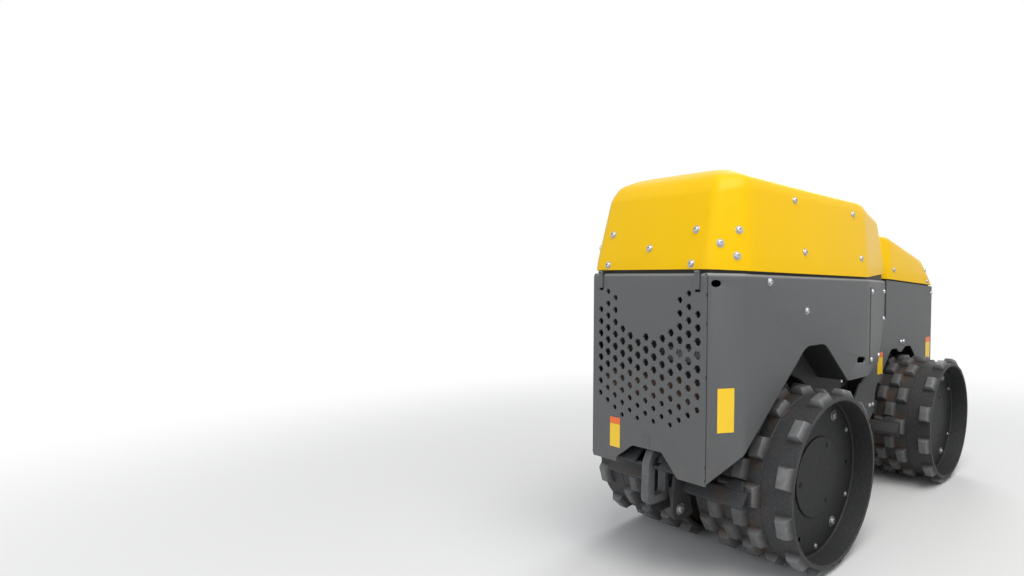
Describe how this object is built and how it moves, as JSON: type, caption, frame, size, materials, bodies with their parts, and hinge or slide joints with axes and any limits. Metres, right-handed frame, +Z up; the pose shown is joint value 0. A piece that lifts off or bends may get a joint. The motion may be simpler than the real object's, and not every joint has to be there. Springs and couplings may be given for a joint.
{
  "type": "articulated trench roller",
  "caption": "Walk-behind trench roller: yellow hoods over a grey engine half with a perforated grille, a narrower tank half, a steering yoke and studded twin drums.",
  "frame": {"origin": "floor level, midway along the length and width of the machine", "axes": "+X to the engine end with the grille, +Y to the machine's left side, +Z up"},
  "size_m": [1.9083, 0.82, 1.286],
  "materials": {
    "hood_yellow": "gloss yellow paint",
    "body_grey": "satin grey paint",
    "frame_grey": "dark grey paint",
    "drum_iron": "worn cast and rolled steel",
    "zinc_steel": "zinc plated",
    "black_plastic": "matt black"
  },
  "bodies": {
    "engine_half": {"engine_lower_frame": "frame_grey", "engine_floor_pan": "frame_grey", "engine_side_left": "body_grey", "engine_side_right": "body_grey", "engine_grille": "body_grey", "engine_block": "frame_grey", "cooler_core": "frame_grey", "engine_scraper_inner": "frame_grey", "engine_scraper_outer": "frame_grey", "engine_tow_loop": "frame_grey", "front_cover_left": "body_grey", "front_cover_right": "body_grey", "side_access_cover": "body_grey", "hood_hinge_left": "frame_grey", "hood_hinge_right": "frame_grey", "lifting_loop": "frame_grey", "lock_bar": "body_grey", "steering_barrel": "drum_iron", "articulation_pin": "zinc_steel"},
    "engine_drums": {"engine_axle": "zinc_steel", "engine_drum_left": "drum_iron", "engine_drum_right": "drum_iron", "engine_ring_left": "drum_iron", "engine_ring_right": "drum_iron"},
    "engine_hood": {"engine_hood": "hood_yellow", "engine_hood_latch": "zinc_steel", "filler_cap": "black_plastic"},
    "yoke": {"yoke": "frame_grey"},
    "steering_rod": {"steering_rod": "drum_iron"},
    "tank_half": {"tank_lower_frame": "frame_grey", "tank_side_left": "body_grey", "tank_side_right": "body_grey", "tank_end_plate": "body_grey", "tank_front_sheet": "frame_grey", "hydraulic_tank": "frame_grey", "tank_scraper_inner": "frame_grey", "tank_scraper_outer": "frame_grey", "tank_tow_loop": "frame_grey"},
    "tank_hood": {"tank_hood": "hood_yellow", "tank_hood_latch": "zinc_steel"},
    "tank_drums": {"tank_axle": "zinc_steel", "tank_drum_left": "drum_iron", "tank_drum_right": "drum_iron", "tank_ring_left": "drum_iron", "tank_ring_right": "drum_iron"}
  },
  "joints": [
    {"name": "engine_drums_spin", "type": "hinge", "parent": "engine_half", "child": "engine_drums", "pos_m": [0.5227, 0, 0.28209], "axis": [0, 1, 0], "continuous": true},
    {"name": "engine_hood_open", "type": "hinge", "parent": "engine_half", "child": "engine_hood", "pos_m": [0.9518, 0, 0.921], "axis": [0, 1, 0], "range_deg": [0, 60]},
    {"name": "steering", "type": "hinge", "parent": "engine_half", "child": "yoke", "pos_m": [-0.009, 0, 0.37], "axis": [0, 0, 1], "range_deg": [-15.5, 15.5]},
    {"name": "steering_rod_slide", "type": "slide", "parent": "engine_half", "child": "steering_rod", "axis": [1, 0, 0], "range_m": [-0.0315, 0.0315]},
    {"name": "oscillation", "type": "hinge", "parent": "yoke", "child": "tank_half", "pos_m": [-0.13, 0, 0.37], "axis": [1, 0, 0], "range_deg": [-3.5, 3.5]},
    {"name": "tank_hood_open", "type": "hinge", "parent": "tank_half", "child": "tank_hood", "pos_m": [-0.9273, 0, 0.903], "axis": [0, -1, 0], "range_deg": [0, 60]},
    {"name": "tank_drums_spin", "type": "hinge", "parent": "tank_half", "child": "tank_drums", "pos_m": [-0.5413, 0, 0.28209], "axis": [0, 1, 0], "continuous": true}
  ],
  "couplings": [
    {"joint": "steering_rod_slide", "follows": "steering", "m_per_rad": -0.11}
  ]
}
